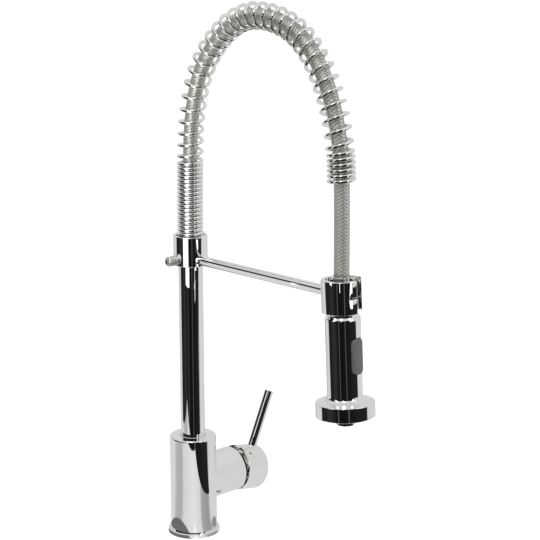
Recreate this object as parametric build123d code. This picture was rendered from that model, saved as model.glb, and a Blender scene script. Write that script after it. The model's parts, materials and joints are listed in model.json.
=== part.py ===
from build123d import *
from math import cos, pi, radians, sin, sqrt, tan
import os

# Kitchen mixer tap with a coiled spring over its hose, a spout arm and a pull-out handset.
# Sizes are in millimetres and degrees. The origin is the centre of the base on the deck,
# +Z runs up the column, the spout arm points along -Y and the lever side is towards +X.

# Clearances
running = 0.05          # radial gap of what turns or slides in a bore
passing = 0.3           # gap between pieces that move past each other

# Base and body
base_dia = 53.0
base_height = 4.5
base_bevel = 0.9
seal_outer_dia = 50.0
seal_inner_dia = 43.0
seal_thick = 1.2
spigot_dia = 40.0
underside_gap = 0.5     # the body's foot stands this far above the deck
body_dia = 47.6
body_height = 104.0
body_top_round = 1.6

# Deck fixings in the underside
stud_thread_dia = 6.8   # wall of an M8 thread
stud_depth = 20.0
stud_offset = 10.0      # from the column axis, towards the valve
inlet_thread_dia = 9.0  # wall of an M10x1 thread
inlet_thread_depth = 16.0
inlet_offset = 6.0      # from the column axis, away from the valve
channel_dia = 5.0

# Valve boss on the side of the body
valve_height = 54.0
valve_turn = 7.5        # the boss stands this far round from square to the spout arm
boss_dia = 46.6
boss_reach = 52.7
boss_blend = 3.0
pivot_reach = 54.0      # the lever's pivot on the valve axis

# Riser column
riser_dia = 25.0
riser_wall = 1.5
riser_gap = 0.3         # from its top to the hose seat
riser_tenon = 8.0
bush_wall = 1.0
bush_length = 15.8
foot_shelf = 0.5
ring_groove_depth = 1.6
ring_groove_height = 2.0
keeper_groove_height = 3.6
keeper_groove_depth = 1.3
keeper_drop = 22.5
keeper_height = body_height - keeper_drop
keeper_dia = 3.0
keeper_length = 10.5
keeper_key = 1.5
riser_foot_high = keeper_height + 2.5
ring_drops = (10.5, 5.5)
ring_grooves = tuple(keeper_height - drop for drop in ring_drops)
riser_foot_drop = 15.5
riser_foot_low = keeper_height - riser_foot_drop

# Hose inside the column and the spring
hose_dia = 14.5
hose_bore = 9.0
tail_flange_dia = 18.0
tail_flange_height = 4.0
tail_thread_dia = 15.0
tail_thread_low = riser_foot_low + 6.0

# Collar with the spout arm and the holder ring
arm_height = 290.3
arm_dia = 10.0
arm_tilt = 3.4          # the arm rises outwards, and the handset leans by the same angle
arm_root = 14.6
reach = 244.0           # column axis to handset axis at the arm
collar_dia = 34.7
collar_low = arm_height - 6.0
collar_rise = 24.4
collar_high = arm_height + collar_rise
collar_edge = 0.8
collar_bush_wall = 0.9
step_rise = 12.7
collar_step = arm_height + step_rise
riser_top = collar_step - riser_gap
seat_thick = 1.5
seat_lug_length = 3.0
seat_gap = 0.7          # round the coil, in the collar's bore
holder_dia = 38.0
holder_bore = 29.0
holder_low = -16.0      # along the handset axis, from the arm's centre line
holder_high = 14.6
holder_edge = 0.7
holder_grip = 2.4       # how far the arm's end sits in the ring's wall
slot_width = 18.6
slot_turn = 39.2        # from straight outwards, towards the lever side
slit_height = 1.3
slit_arc = 26.0
slit_centre = -1.2

# Thumb screw in the collar
screw_head_dia = 10.0
screw_head_end = 30.0
screw_shank_dia = 5.0
screw_edge = 1.0

# Spring, an open coil on the arch with close turns at both ends
wire_dia = 3.6
coil_dia = 26.6
foot_lift = 0.25
close_pitch = 4.2
flank_pitch = 12.4
crown_pitch = 13.8
shoulder_pitch = 11.2
far_pitch = 11.8
end_pitch = 4.5
close_foot = 78.0       # lengths along the arch, from the spring's foot
open_foot = 92.0
crown_start = 185.0
crown_end = 265.0
shoulder_start = 315.0
far_start = 440.0
open_end = 467.0
close_end = 481.0
spring_end = 103.0      # above the arm's centre line, along the handset axis
tail_straight = 20.0
hose_showing = 3.0

# Arch of the hose and the spring
flank_radius = 144.0
flank_arc = 60.0
crown_arc = 90.0
far_radius = 140.0

# Hose end, nut and neck of the handset, along its axis from the arm's centre line
ferrule_dia = 15.4
ferrule_high = 17.0
cone_flange_dia = 17.8
cone_flange_low = 5.35
cone_flange_high = 7.3
nut_high = 10.5
nut_top_dia = 18.4
nut_skirt = 3.9
neck_dia = 28.4
neck_high = 3.8
neck_shelf = -4.0
neck_thread_dia = 18.8
shoulder_high = -17.2
shoulder_low = -21.4
shoulder_round = 3.0
neck_low = -36.0
washer_thick = 1.5
valve_bore = 16.0
check_low = -20.0
check_high = -7.0
check_seat_bore = 7.0
check_cage_bore = 13.0
check_cage_floor = 1.5
poppet_dia = 10.0
poppet_thick = 1.6
poppet_stem_dia = 2.4
poppet_stem_length = 6.0

# Handset shell, with the bell at its lower end
shell_dia = 33.0
shell_wall = 2.0
shell_high = -22.6
shell_low = -97.0
shell_blend = 5.0
bell_dia = 55.0
bell_high = -99.5
bell_low = -113.2
bell_round = 0.9
bell_wall = 2.2
bell_roof = 1.6         # straight down through the bell's sloping top

# Waterway, spray face and outlet inside the shell
waterway_top = -36.5    # along the handset axis, from the arm's centre line
waterway_bore = 6.0
bell_floor = -106.0
face_low = -111.4
face_chamber = 2.0
chamber_inner = 11.0
chamber_outer = 21.8
port_bore = 3.0
spray_channel = 12.5    # from the handset axis
spray_turn = -86.0
nozzle_ring_radii = (14.0, 19.5)
nozzle_ring_counts = (16, 22)
nozzle_dia = 2.0
nozzle_proud = 0.7
nozzle_bore = 0.8
outlet_dia = 18.0
outlet_wall = 1.6
outlet_low = -121.2
outlet_high = -103.0
aerator_low = -119.9
aerator_high = -108.0
aerator_slots = 5
aerator_slot_width = 0.8
outlet_washer_bore = 9.0
face_ring_minor = 0.9

# Rocker button and diverter
handset_turn = 12.0     # the button faces this far round towards the lever side
button_width = 14.0
button_length = 33.0
button_centre = -55.3
button_outer = 18.5
button_inner = 13.6
button_corner = 5.0
button_gap = 0.5
pocket_depth = 3.0
rocker_pivot = 15.2
rocker_pin_dia = 2.0
button_wall = 1.2
button_hollow_top = 16.9
boss_width = 6.0
ear_thick = 1.6
ear_length = 3.6
ear_over = 1.2
foot_width = 3.0
foot_thick = 1.8
spool_centre = 7.0
spool_dia = 6.0
spool_waist = 3.6
spool_length = 14.0
spool_groove = 2.5
spool_room = 0.8
spool_ring_at = 5.0
spool_ring_minor = 0.4

# Cartridge in the valve boss, along the valve axis
cartridge_floor = 20.0
cartridge_dia = 35.0
cartridge_base = 20.6
cartridge_wall = 1.6
cartridge_shoulder = 46.4
cartridge_inside_high = 44.9
cartridge_neck_dia = 27.2
cartridge_neck_bore = 23.8
cartridge_neck_high = 57.0
fixed_disc_low = 24.0
fixed_disc_high = 28.0
fixed_disc_dia = 29.0
moving_disc_dia = 21.0
moving_disc_high = 32.0
carrier_high = 41.8
carrier_floor = 34.5
carrier_bore = 6.2
port_dia = 5.2
port_spread = 7.0       # each side, and the spacing of the two inlets below
port_drop = 5.0
port_rise = 6.5
port_ring_dia = 8.4
port_ring_minor = 0.85
rotor_flange_low = 42.2
rotor_flange_dia = 31.0
rotor_high = 60.0
rotor_slot_up = 5.2
rotor_slot_side = 3.8
pivot_pin_dia = 3.0
pivot_pin_half = 10.0
mixing_dia = 13.0
mixing_offset = 3.0
nut_outer_dia = 39.0
nut_inner_dia = 28.0
nut_high_out = 53.0
shroud_low = 53.2
shroud_ball = 18.2
shroud_wall = 1.4
shroud_mouth_dia = 18.6

# Knob, stem and lever, in the lever's own frame along the knob's axis from the pivot
knob_tilt = 10.5        # the knob droops outwards by this angle, with the lever shut
knob_dia = 47.0
knob_wall = 2.0
knob_rim = 3.4
knob_hub = 18.9
knob_end = 34.9
knob_dome = 120.0
knob_round = 4.5
stem_width = 7.0
stem_low = -6.0
stem_high = 28.5
stem_neck_dia = 4.4
stem_ball_dia = 6.0
stem_ball_reach = 15.0
lever_dia = 9.5
lever_rake = 14.2
lever_foot = 25.5
lever_seat = 6.0
lever_length = 59.8
lever_edge = 0.5
knob_screw_dia = 4.0
knob_screw_length = 10.0
index_dia = 2.6
index_reach = 9.7
index_turn = 38.4

# Frames of the tilted and turned groups
valve = Plane(
    origin=(0, 0, valve_height),
    x_dir=(0, 0, 1),
    z_dir=(cos(radians(valve_turn)), sin(radians(valve_turn)), 0),
)
lever = Plane(valve * Pos(0, 0, pivot_reach) * Rot(0, -knob_tilt, 0))
handset_height = arm_height + reach * tan(radians(arm_tilt))
handset = Plane(
    origin=(0, -reach, handset_height),
    x_dir=(1, 0, 0),
    z_dir=(0, sin(radians(arm_tilt)), cos(radians(arm_tilt))),
)
arm_line = Plane(
    origin=(0, 0, arm_height),
    x_dir=(1, 0, 0),
    z_dir=(0, -cos(radians(arm_tilt)), sin(radians(arm_tilt))),
)
thumb_line = Plane(origin=(0, 0, arm_height), x_dir=(0, 0, 1), z_dir=(-1, 0, 0))
back_line = Plane(origin=(0, 0, keeper_height), x_dir=(1, 0, 0), z_dir=(0, 1, 0))
arch_plane = Plane(origin=(0, 0, 0), x_dir=(0, -1, 0), z_dir=(-1, 0, 0))
button = Plane(handset * Rot(0, 0, handset_turn))


def turned(*profile):
    """A solid of revolution about Z from (radius, height, optional round) points."""
    points = [(p[0], p[1]) for p in profile]
    rounds = [p[2] if len(p) > 2 else 0 for p in profile]
    outline = FilletPolyline(*points, radius=rounds, close=True)
    return revolve(Plane.XZ * make_face(outline), Axis.Z)


def rod(diameter, low, high):
    return turned((0, low), (diameter / 2, low), (diameter / 2, high), (0, high))


def ring(outer, inner, low, high):
    return turned((inner / 2, low), (outer / 2, low), (outer / 2, high), (inner / 2, high))


def block(width, depth, low, high):
    """A box centred on Z, between two heights."""
    return Pos(0, 0, (low + high) / 2) * Box(width, depth, high - low)


def o_ring(major_radius, minor_radius, height):
    return Pos(0, 0, height) * Torus(major_radius, minor_radius)


# Base and body

def make_base_ring():
    return turned(
        (spigot_dia / 2, 0),
        (seal_inner_dia / 2, 0),
        (seal_inner_dia / 2, seal_thick),
        (seal_outer_dia / 2, seal_thick),
        (seal_outer_dia / 2, 0),
        (base_dia / 2, 0),
        (base_dia / 2, base_height - base_bevel),
        (base_dia / 2 - base_bevel, base_height),
        (spigot_dia / 2, base_height),
    )


def make_base_seal():
    return ring(seal_outer_dia, seal_inner_dia, 0, seal_thick)


def port_places():
    """Up and side offsets of the two inlets and the outlet on the valve's seat."""
    return ((-port_drop, port_spread), (-port_drop, -port_spread), (port_rise, 0))


def make_body():
    foot = turned(
        (0, underside_gap),
        (spigot_dia / 2, underside_gap),
        (spigot_dia / 2, base_height),
        (body_dia / 2, base_height),
        (body_dia / 2, body_height, body_top_round),
        (0, body_height),
    )
    shape = foot + valve * rod(boss_dia, 0, boss_reach)
    joint = shape.edges().filter_by(lambda e: e.geom_type not in (GeomType.CIRCLE, GeomType.LINE))
    shape = fillet(joint, boss_blend)
    foot_bore = riser_dia + 2 * running
    shape -= rod(foot_bore, riser_foot_low - foot_shelf, body_height)
    shape -= rod(riser_dia + 2 * (running + bush_wall), body_height - bush_length, body_height)
    shape -= valve * rod(cartridge_dia + 0.2, cartridge_floor, boss_reach)
    shape -= valve * rod(nut_outer_dia + 0.1, cartridge_shoulder, boss_reach)
    shape -= back_line * rod(keeper_dia, riser_dia / 2 - keeper_groove_depth, body_dia)
    turn = Rot(0, 0, valve_turn)
    shape -= turn * Pos(stud_offset, 0, 0) * rod(stud_thread_dia, 0, stud_depth)
    for side in (-1, 1):
        inlet = turn * Pos(-inlet_offset, side * port_spread, 0)
        shape -= inlet * rod(inlet_thread_dia, 0, inlet_thread_depth)
        shape -= inlet * rod(channel_dia, inlet_thread_depth, valve_height - port_drop)
    for up, side in port_places():
        start = -inlet_offset if side else 0
        shape -= valve * Pos(up, side, 0) * rod(channel_dia, start, cartridge_floor)
    shape -= rod(channel_dia, valve_height + port_rise, riser_foot_low)
    return shape


def make_riser_bush():
    outer = riser_dia + 2 * (running + bush_wall)
    return ring(outer, riser_dia + 2 * running, body_height - bush_length, body_height)


def make_keeper_screw():
    tip = riser_dia / 2 - keeper_groove_depth + 0.2
    screw = rod(keeper_dia, tip, tip + keeper_length)
    screw -= Pos(0, 0, tip + keeper_length) * extrude(
        RegularPolygon(keeper_key / 2, 6, major_radius=False), -keeper_key
    )
    return back_line * screw


# Riser column

def make_riser_tube():
    inner = riser_dia - 2 * riser_wall
    return ring(riser_dia, inner, riser_foot_high, riser_top)


def make_riser_foot():
    tenon = riser_dia - 2 * riser_wall
    foot = rod(riser_dia, riser_foot_low, riser_foot_high)
    foot += rod(tenon, riser_foot_high, riser_foot_high + riser_tenon)
    foot -= rod(tail_thread_dia, tail_thread_low, riser_foot_high + riser_tenon)
    foot -= rod(hose_bore, riser_foot_low, tail_thread_low)
    for height in ring_grooves:
        waist = riser_dia - 2 * ring_groove_depth
        foot -= ring(riser_dia + 1, waist, height - ring_groove_height / 2, height + ring_groove_height / 2)
    waist = riser_dia - 2 * keeper_groove_depth
    half = keeper_groove_height / 2
    foot -= ring(riser_dia + 1, waist, keeper_height - half, keeper_height + half)
    return foot


def make_riser_seals():
    minor = ring_groove_depth / 2
    major = riser_dia / 2 - minor
    return Compound(children=[o_ring(major, minor, height) for height in ring_grooves])


def make_hose_tail():
    flange_low = riser_foot_high + riser_tenon
    tail = rod(tail_thread_dia, tail_thread_low, flange_low)
    tail += rod(tail_flange_dia, flange_low, flange_low + tail_flange_height)
    return tail - rod(hose_bore, tail_thread_low, flange_low + tail_flange_height)


hose_start = riser_foot_high + riser_tenon + tail_flange_height
hose_joint = collar_step + seat_thick / 2


def make_hose_riser():
    return ring(hose_dia, hose_bore, hose_start, hose_joint)


# Collar, arm and holder ring

def make_arm():
    arm_end = reach / cos(radians(arm_tilt)) - holder_dia / 2 + holder_grip
    return arm_line * rod(arm_dia, arm_root, arm_end)


def make_collar(arm):
    bush_bore = riser_dia + 2 * (running + collar_bush_wall)
    seat_bore = coil_dia + 2 * seat_gap
    collar = turned(
        (bush_bore / 2, collar_low),
        (collar_dia / 2, collar_low, collar_edge),
        (collar_dia / 2, collar_high, collar_edge),
        (seat_bore / 2, collar_high, collar_edge),
        (seat_bore / 2, collar_step),
        (bush_bore / 2, collar_step),
    )
    collar -= arm
    return collar - thumb_line * rod(screw_shank_dia + 2 * running, 0, collar_dia)


def make_collar_bush():
    outer = riser_dia + 2 * (running + collar_bush_wall)
    bush = ring(outer, riser_dia + 2 * running, collar_low, collar_step)
    return bush - thumb_line * rod(screw_shank_dia + 2 * running, 0, collar_dia)


def make_holder_ring(arm):
    ring_shape = turned(
        (holder_bore / 2, holder_low, holder_edge),
        (holder_dia / 2, holder_low, holder_edge),
        (holder_dia / 2, holder_high, holder_edge),
        (holder_bore / 2, holder_high, holder_edge),
    )
    opening = Rot(0, 0, slot_turn) * Pos(0, -holder_dia / 2, 0) * Box(slot_width, holder_dia, 3 * holder_dia)
    ring_shape -= opening
    slot_edge = -90 + slot_turn - degrees_half_slot()
    band = Plane.XZ * Pos(holder_dia / 2, slit_centre) * Rectangle(holder_dia / 2, slit_height)
    slit = revolve(band, Axis.Z, revolution_arc=slit_arc)
    ring_shape -= Rot(0, 0, slot_edge - slit_arc) * slit
    return handset * ring_shape - arm


def degrees_half_slot():
    """Half the slot's angle at the outside of the ring."""
    half = slot_width / holder_dia
    return 180 / pi * 2 * half / (1 + sqrt(1 - half * half))


def make_thumb_screw():
    tip = riser_dia / 2 + 2 * running
    head = collar_dia / 2 + passing
    screw = turned(
        (0, tip),
        (screw_shank_dia / 2, tip),
        (screw_shank_dia / 2, head),
        (screw_head_dia / 2, head),
        (screw_head_dia / 2, screw_head_end, screw_edge),
        (0, screw_head_end),
    )
    return thumb_line * screw


# Arch, hose and spring

def arch_numbers():
    """The crown's radius and the height where the flank starts, from the reach."""
    far_end = 180 - arm_tilt
    crown_end_turn = flank_arc + crown_arc
    above = spring_end + tail_straight
    out = reach - above * sin(radians(arm_tilt))
    up = handset_height + above * cos(radians(arm_tilt))
    cos_flank, sin_flank = cos(radians(flank_arc)), sin(radians(flank_arc))
    cos_crown, sin_crown = cos(radians(crown_end_turn)), sin(radians(crown_end_turn))
    flank_out = flank_radius * (1 - cos_flank)
    far_out = far_radius * (cos_crown - cos(radians(far_end)))
    crown_radius = (out - flank_out - far_out) / (cos_flank - cos_crown)
    climb = flank_radius * sin_flank
    climb += crown_radius * (sin_crown - sin_flank)
    climb += far_radius * (sin(radians(far_end)) - sin_crown)
    return crown_radius, up - climb


def arch_path():
    """Centre line of hose and spring, from the hose joint to past the spring's end."""
    crown_radius, flank_start = arch_numbers()
    up = Line((0, hose_joint), (0, flank_start))
    flank = JernArc(up @ 1, up % 1, flank_radius, -flank_arc)
    crown = JernArc(flank @ 1, flank % 1, crown_radius, -crown_arc)
    far = JernArc(crown @ 1, crown % 1, far_radius, -(180 - arm_tilt - flank_arc - crown_arc))
    down = Line(far @ 1, far @ 1 + (far % 1) * (tail_straight + hose_showing))
    return Wire([arch_plane * piece for piece in (up, flank, crown, far, down)])


def pitch_at(station, spring_length):
    """The coil's pitch at a length along the arch, between the named stations."""
    stops = (
        (0, close_pitch),
        (close_foot, close_pitch),
        (open_foot, flank_pitch),
        (crown_start, crown_pitch),
        (crown_end, crown_pitch),
        (shoulder_start, shoulder_pitch),
        (far_start, far_pitch),
        (open_end, far_pitch),
        (close_end, end_pitch),
        (spring_length + coil_dia, end_pitch),
    )
    for (low, low_pitch), (high, high_pitch) in zip(stops, stops[1:]):
        if station <= high:
            return low_pitch + (high_pitch - low_pitch) * (station - low) / (high - low)
    return end_pitch


def coil_point(path, station, turn):
    """A point of the wire's centre line, a number of turns round the arch."""
    centre = path.position_at(station, position_mode=PositionMode.LENGTH)
    along = path.tangent_at(station, position_mode=PositionMode.LENGTH)
    side = Vector(1, 0, 0)
    outward = along.cross(side)
    mean_radius = (coil_dia - wire_dia) / 2
    angle = 2 * pi * turn
    return centre + outward * (mean_radius * cos(angle)) - side * (mean_radius * sin(angle))


def biarc(start, start_way, end, end_way):
    """Two tangent arcs that join two points with given directions."""
    across = end - start
    both = start_way + end_way
    bend = 2 * (1 - start_way.dot(end_way))
    push = 2 * across.dot(both)
    reach_out = (-push + sqrt(push * push + 4 * bend * across.dot(across))) / (2 * bend)
    first = start + start_way * reach_out
    last = end - end_way * reach_out
    middle = (first + last) * 0.5
    middle_way = (last - first).normalized()
    return [
        Edge.make_tangent_arc(start, start_way, middle),
        Edge.make_tangent_arc(middle, middle_way, end),
    ]


def coil_knots(path):
    """Points and directions of the wire at every half turn."""
    coil_foot = collar_step + seat_thick + wire_dia / 2 + foot_lift
    offset = coil_foot - hose_joint
    length = path.length - offset - hose_showing - wire_dia / 2
    knots = []
    station, turn, nudge = 0.0, 0.0, 0.01
    while station < length:
        rate = 1 / pitch_at(station, length)
        before = coil_point(path, offset + station - nudge, turn - nudge * rate)
        after = coil_point(path, offset + station + nudge, turn + nudge * rate)
        here = coil_point(path, offset + station, turn)
        knots.append((here, (after - before).normalized()))
        middle = station + pitch_at(station, length) / 4
        station += pitch_at(middle, length) / 2
        turn += 0.5
    return knots


def coil_wire(path):
    knots = coil_knots(path)
    first, first_way = knots[0]
    last, last_way = knots[-1]
    edges = [Edge.make_line(first - first_way * wire_dia, first)]
    for (start, start_way), (end, end_way) in zip(knots, knots[1:]):
        edges += biarc(start, start_way, end, end_way)
    edges.append(Edge.make_line(last, last + last_way * wire_dia))
    return Wire(edges)


def report_gap(wire, turns):
    """Prints the coil's least gap to itself, measured on points along its wire."""
    per_turn = 24
    count = int(turns * per_turn)
    points = [wire @ (i / count) for i in range(count + 1)]
    least = min(
        (points[i] - points[k]).length
        for i in range(count + 1)
        for k in range(i + per_turn // 2, min(i + 2 * per_turn, count + 1))
    )
    print(f"spring: {turns:.1f} turns, least gap {least - wire_dia:.2f} mm")


def make_spring(path):
    wire = coil_wire(path)
    report_gap(wire, (len(wire.edges()) - 2) / 4)
    section = Plane(origin=wire @ 0, z_dir=wire % 0) * Circle(wire_dia / 2)
    return sweep(section, path=wire), wire


def make_spring_seat(wire):
    seat_bore = hose_dia + 2 * passing
    seat_top = collar_step + seat_thick
    outer = coil_dia + 2 * seat_gap
    seat = ring(outer, seat_bore, collar_step, seat_top)
    stop = Plane(origin=wire @ 0, z_dir=(wire % 0) * -1)
    lug = stop * rod(2 * wire_dia, 0, seat_lug_length)
    room = ring(outer, coil_dia - 2 * wire_dia, collar_step, seat_top + wire_dia)
    return seat + (lug & room)


def make_hose_arch(path):
    start = Plane(origin=path @ 0, z_dir=path % 0)
    wall = start * (Circle(hose_dia / 2) - Circle(hose_bore / 2))
    return sweep(wall, path=path)


# Hose end

def make_hose_drop():
    drop_high = spring_end - hose_showing
    return handset * ring(hose_dia, hose_bore, ferrule_high, drop_high)


def make_hose_cone():
    cone = rod(cone_flange_dia, cone_flange_low, cone_flange_high)
    cone += rod(hose_bore, cone_flange_high, ferrule_high)
    return handset * (cone - rod(hose_bore - 3, cone_flange_low, ferrule_high))


def make_ferrule():
    return handset * turned(
        (hose_bore / 2, cone_flange_high),
        (ferrule_dia / 2, cone_flange_high),
        (ferrule_dia / 2, ferrule_high, 0.5),
        (hose_bore / 2, ferrule_high),
    )


# Handset

def make_neck():
    neck = turned(
        (neck_thread_dia / 2, neck_high),
        (neck_thread_dia / 2, neck_shelf),
        (neck_dia / 2, neck_shelf),
        (neck_dia / 2, shoulder_high),
        (shell_dia / 2, shoulder_low, shoulder_round),
        (shell_dia / 2, shell_high),
        (shell_dia / 2 - shell_wall, shell_high),
        (shell_dia / 2 - shell_wall, neck_low),
        (hose_bore / 2, neck_low),
        (hose_bore / 2, check_low),
        (valve_bore / 2, check_low),
        (valve_bore / 2, check_high),
        (hose_bore / 2, check_high),
        (hose_bore / 2, neck_high),
    )
    return handset * neck


def make_cone_nut():
    rest = neck_high + washer_thick
    inner_top = cone_flange_high + 0.2
    throat = ferrule_dia / 2 + passing
    return handset * turned(
        (neck_thread_dia / 2, neck_shelf),
        (neck_dia / 2, neck_shelf),
        (neck_dia / 2, neck_shelf + nut_skirt, 1.0),
        (nut_top_dia / 2, nut_high),
        (throat, nut_high),
        (throat, inner_top),
        (neck_thread_dia / 2, inner_top),
        (neck_thread_dia / 2, rest),
    )


def make_hose_washer():
    return handset * ring(neck_thread_dia, hose_bore, neck_high, neck_high + washer_thick)


def make_check_cage():
    return handset * turned(
        (check_seat_bore / 2, check_high),
        (valve_bore / 2, check_high),
        (valve_bore / 2, check_low),
        (poppet_stem_dia, check_low),
        (poppet_stem_dia, check_low + check_cage_floor),
        (check_cage_bore / 2, check_low + check_cage_floor),
        (check_cage_bore / 2, check_high - check_cage_floor),
        (check_seat_bore / 2, check_high - check_cage_floor),
    )


def make_check_poppet():
    high = check_high - check_cage_floor
    disc = rod(poppet_dia, high - poppet_thick, high)
    stem_top = high - poppet_thick
    return handset * (disc + rod(poppet_stem_dia, stem_top - poppet_stem_length, stem_top))


def button_opening(width, length, low, high):
    """The button's rounded outline, cut outwards from one radius to another."""
    face = RectangleRounded(width, length, button_corner)
    lift = Plane(origin=(0, -low, button_centre), x_dir=(1, 0, 0), z_dir=(0, -1, 0))
    return extrude(lift * face, high - low)


def make_shell():
    bore = shell_dia / 2 - shell_wall
    lip = bell_dia / 2 - bell_wall
    shell = turned(
        (shell_dia / 2, shell_high),
        (shell_dia / 2, shell_low, shell_blend),
        (bell_dia / 2, bell_high, bell_round),
        (bell_dia / 2, bell_low, bell_round),
        (lip, bell_low),
        (lip, bell_high - bell_roof),
        (bore, shell_low - bell_roof),
        (bore, shell_high),
    )
    opening = button_opening(
        button_width + 2 * button_gap, button_length + 2 * button_gap, 0, shell_dia
    )
    return button * (shell - opening)


def make_waterway():
    bore = shell_dia / 2 - shell_wall
    lip = bell_dia / 2 - bell_wall
    core = turned(
        (0, waterway_top),
        (bore, waterway_top),
        (bore, shell_low - bell_roof),
        (lip, bell_high - bell_roof),
        (lip, bell_floor),
        (0, bell_floor),
    )
    room = spool_length / 2 + spool_room
    spool_bore = spool_dia + 2 * running
    at_spool = Pos(0, -spool_centre, button_centre)
    core -= rod(waterway_bore, button_centre + 3, waterway_top)
    core -= rod(waterway_bore, outlet_high, button_centre - 3)
    core -= rod(outlet_dia, bell_floor, outlet_high)
    core -= ring(2 * chamber_outer, 2 * chamber_inner, bell_floor, bell_floor + face_chamber)
    core -= button_opening(
        button_width + 2 * button_gap,
        button_length + 2 * button_gap,
        button_inner - pocket_depth,
        shell_dia,
    )
    core -= at_spool * rod(spool_bore, -room, room)
    foot_slot = button_inner - pocket_depth - spool_centre
    core -= Pos(0, -spool_centre - foot_slot / 2, button_centre) * Box(
        foot_width + 2 * passing, foot_slot, spool_dia
    )
    for side in (-1, 1):
        port = at_spool * Pos(0, 0, side * (room - channel_dia / 2 + 1)) * Rot(-90, 0, 0)
        core -= port * rod(port_bore, 0, spool_centre)
    core -= at_spool * rod(port_bore, spray_turn - button_centre, -room)
    turn_out = Pos(0, -spool_centre, spray_turn) * Rot(90, 0, 0)
    core -= turn_out * rod(port_bore, 0, spray_channel - spool_centre)
    core -= Pos(0, -spray_channel, 0) * rod(port_bore, bell_floor, spray_turn)
    return button * (core + make_ears())


def make_ears():
    """Two ears of the waterway that carry the rocker's pin."""
    low = button_inner - pocket_depth
    tall = rocker_pivot + ear_over - low
    ears = None
    for side in (-1, 1):
        place = Pos(side * (boss_width / 2 + passing + ear_thick / 2), -low - tall / 2, button_centre)
        ear = place * Box(ear_thick, tall, ear_length)
        ears = ear if ears is None else ears + ear
    return ears - rocker_axis * rod(rocker_pin_dia, -button_width, button_width)


def make_rocker_pin():
    half = boss_width / 2 + passing + ear_thick
    return button * rocker_axis * rod(rocker_pin_dia, -half, half)


def make_rocker_button():
    middle = (button_inner + button_outer) / 2
    cap = button_opening(button_width, button_length, button_inner, button_outer)
    cap &= Pos(0, 0, button_centre) * rod(2 * button_outer, -button_length, button_length)
    hollow = button_hollow_top - button_inner
    cap -= Pos(0, -button_inner - hollow / 2, button_centre) * Box(
        button_width - 2 * button_wall, hollow, button_length - 2 * button_wall
    )
    boss_deep = middle + 1 - button_inner
    cap += Pos(0, -button_inner - boss_deep / 2, button_centre) * Box(boss_width, boss_deep, ear_length)
    foot_tip = spool_centre + spool_waist / 2 + passing
    foot_deep = button_inner + 1 - foot_tip
    cap += Pos(0, -foot_tip - foot_deep / 2, button_centre) * Box(foot_width, foot_deep, foot_thick)
    cap -= rocker_axis * rod(rocker_pin_dia + 2 * running, -button_width, button_width)
    return button * cap


def make_spool():
    half = spool_length / 2
    spool = rod(spool_dia, -half, half)
    spool -= ring(spool_dia + 1, spool_waist, -spool_groove / 2, spool_groove / 2)
    for side in (-1, 1):
        at = side * spool_ring_at
        spool -= ring(spool_dia + 1, spool_dia - 4 * spool_ring_minor, at - 0.5, at + 0.5)
    return button * Pos(0, -spool_centre, button_centre) * spool


def make_spool_seals():
    major = spool_dia / 2 - spool_ring_minor
    seals = [o_ring(major, spool_ring_minor, side * spool_ring_at) for side in (-1, 1)]
    return button * Pos(0, -spool_centre, button_centre) * Compound(children=seals)


def nozzle_places():
    for radius, count in zip(nozzle_ring_radii, nozzle_ring_counts):
        for i in range(count):
            yield Rot(0, 0, 360 * i / count) * Pos(radius, 0, 0)


def make_spray_face():
    outer = bell_dia - 2 * bell_wall - 0.2
    groove = 4 * face_ring_minor
    middle = (bell_floor + face_low) / 2
    face = ring(outer, outlet_dia, face_low, bell_floor)
    face -= ring(outer + 1, outer - groove, middle - face_ring_minor, middle + face_ring_minor)
    for place in nozzle_places():
        face -= place * rod(nozzle_dia, face_low, bell_floor)
    return handset * face


def make_nozzles():
    low = face_low - nozzle_proud
    nozzles = [place * ring(nozzle_dia, nozzle_bore, low, bell_floor) for place in nozzle_places()]
    return handset * Compound(children=nozzles)


def make_face_seal():
    outer = bell_dia / 2 - bell_wall - 0.1
    middle = (bell_floor + face_low) / 2
    return handset * o_ring(outer - face_ring_minor, face_ring_minor, middle)


def make_outlet():
    high = outlet_high - washer_thick
    return handset * turned(
        (outlet_dia / 2 - outlet_wall, outlet_low),
        (outlet_dia / 2, outlet_low, 0.6),
        (outlet_dia / 2, high),
        (outlet_dia / 2 - outlet_wall, high),
    )


def make_outlet_washer():
    return handset * ring(outlet_dia, outlet_washer_bore, outlet_high - washer_thick, outlet_high)


def make_aerator():
    inner = outlet_dia - 2 * outlet_wall
    insert = rod(inner, aerator_low, aerator_high)
    spacing = inner / (aerator_slots + 1)
    middle = (aerator_low + aerator_high) / 2
    for i in range(aerator_slots):
        across = (i - (aerator_slots - 1) / 2) * spacing
        length = 2 * sqrt((inner / 2) ** 2 - across**2) - 2
        insert -= Pos(across, 0, middle) * Box(aerator_slot_width, length, aerator_high - aerator_low)
    return handset * insert


# Valve: cartridge, nut and shroud

def port_drills(diameter, low, high):
    return [Pos(up, side, 0) * rod(diameter, low, high) for up, side in port_places()]


def make_cartridge_housing():
    inside = cartridge_dia / 2 - cartridge_wall
    housing = turned(
        (0, cartridge_base),
        (cartridge_dia / 2, cartridge_base),
        (cartridge_dia / 2, cartridge_shoulder),
        (cartridge_neck_dia / 2, cartridge_shoulder),
        (cartridge_neck_dia / 2, cartridge_neck_high),
        (cartridge_neck_bore / 2, cartridge_neck_high),
        (cartridge_neck_bore / 2, cartridge_inside_high),
        (inside, cartridge_inside_high),
        (inside, fixed_disc_low),
        (0, fixed_disc_low),
    )
    pocket = port_ring_dia + 2 * port_ring_minor + 0.1
    for drill in port_drills(port_dia, cartridge_base, fixed_disc_low):
        housing -= drill
    pocket_top = cartridge_floor + 0.1 + 2 * port_ring_minor
    for drill in port_drills(pocket, cartridge_base, pocket_top):
        housing -= drill
    return valve * housing


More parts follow.
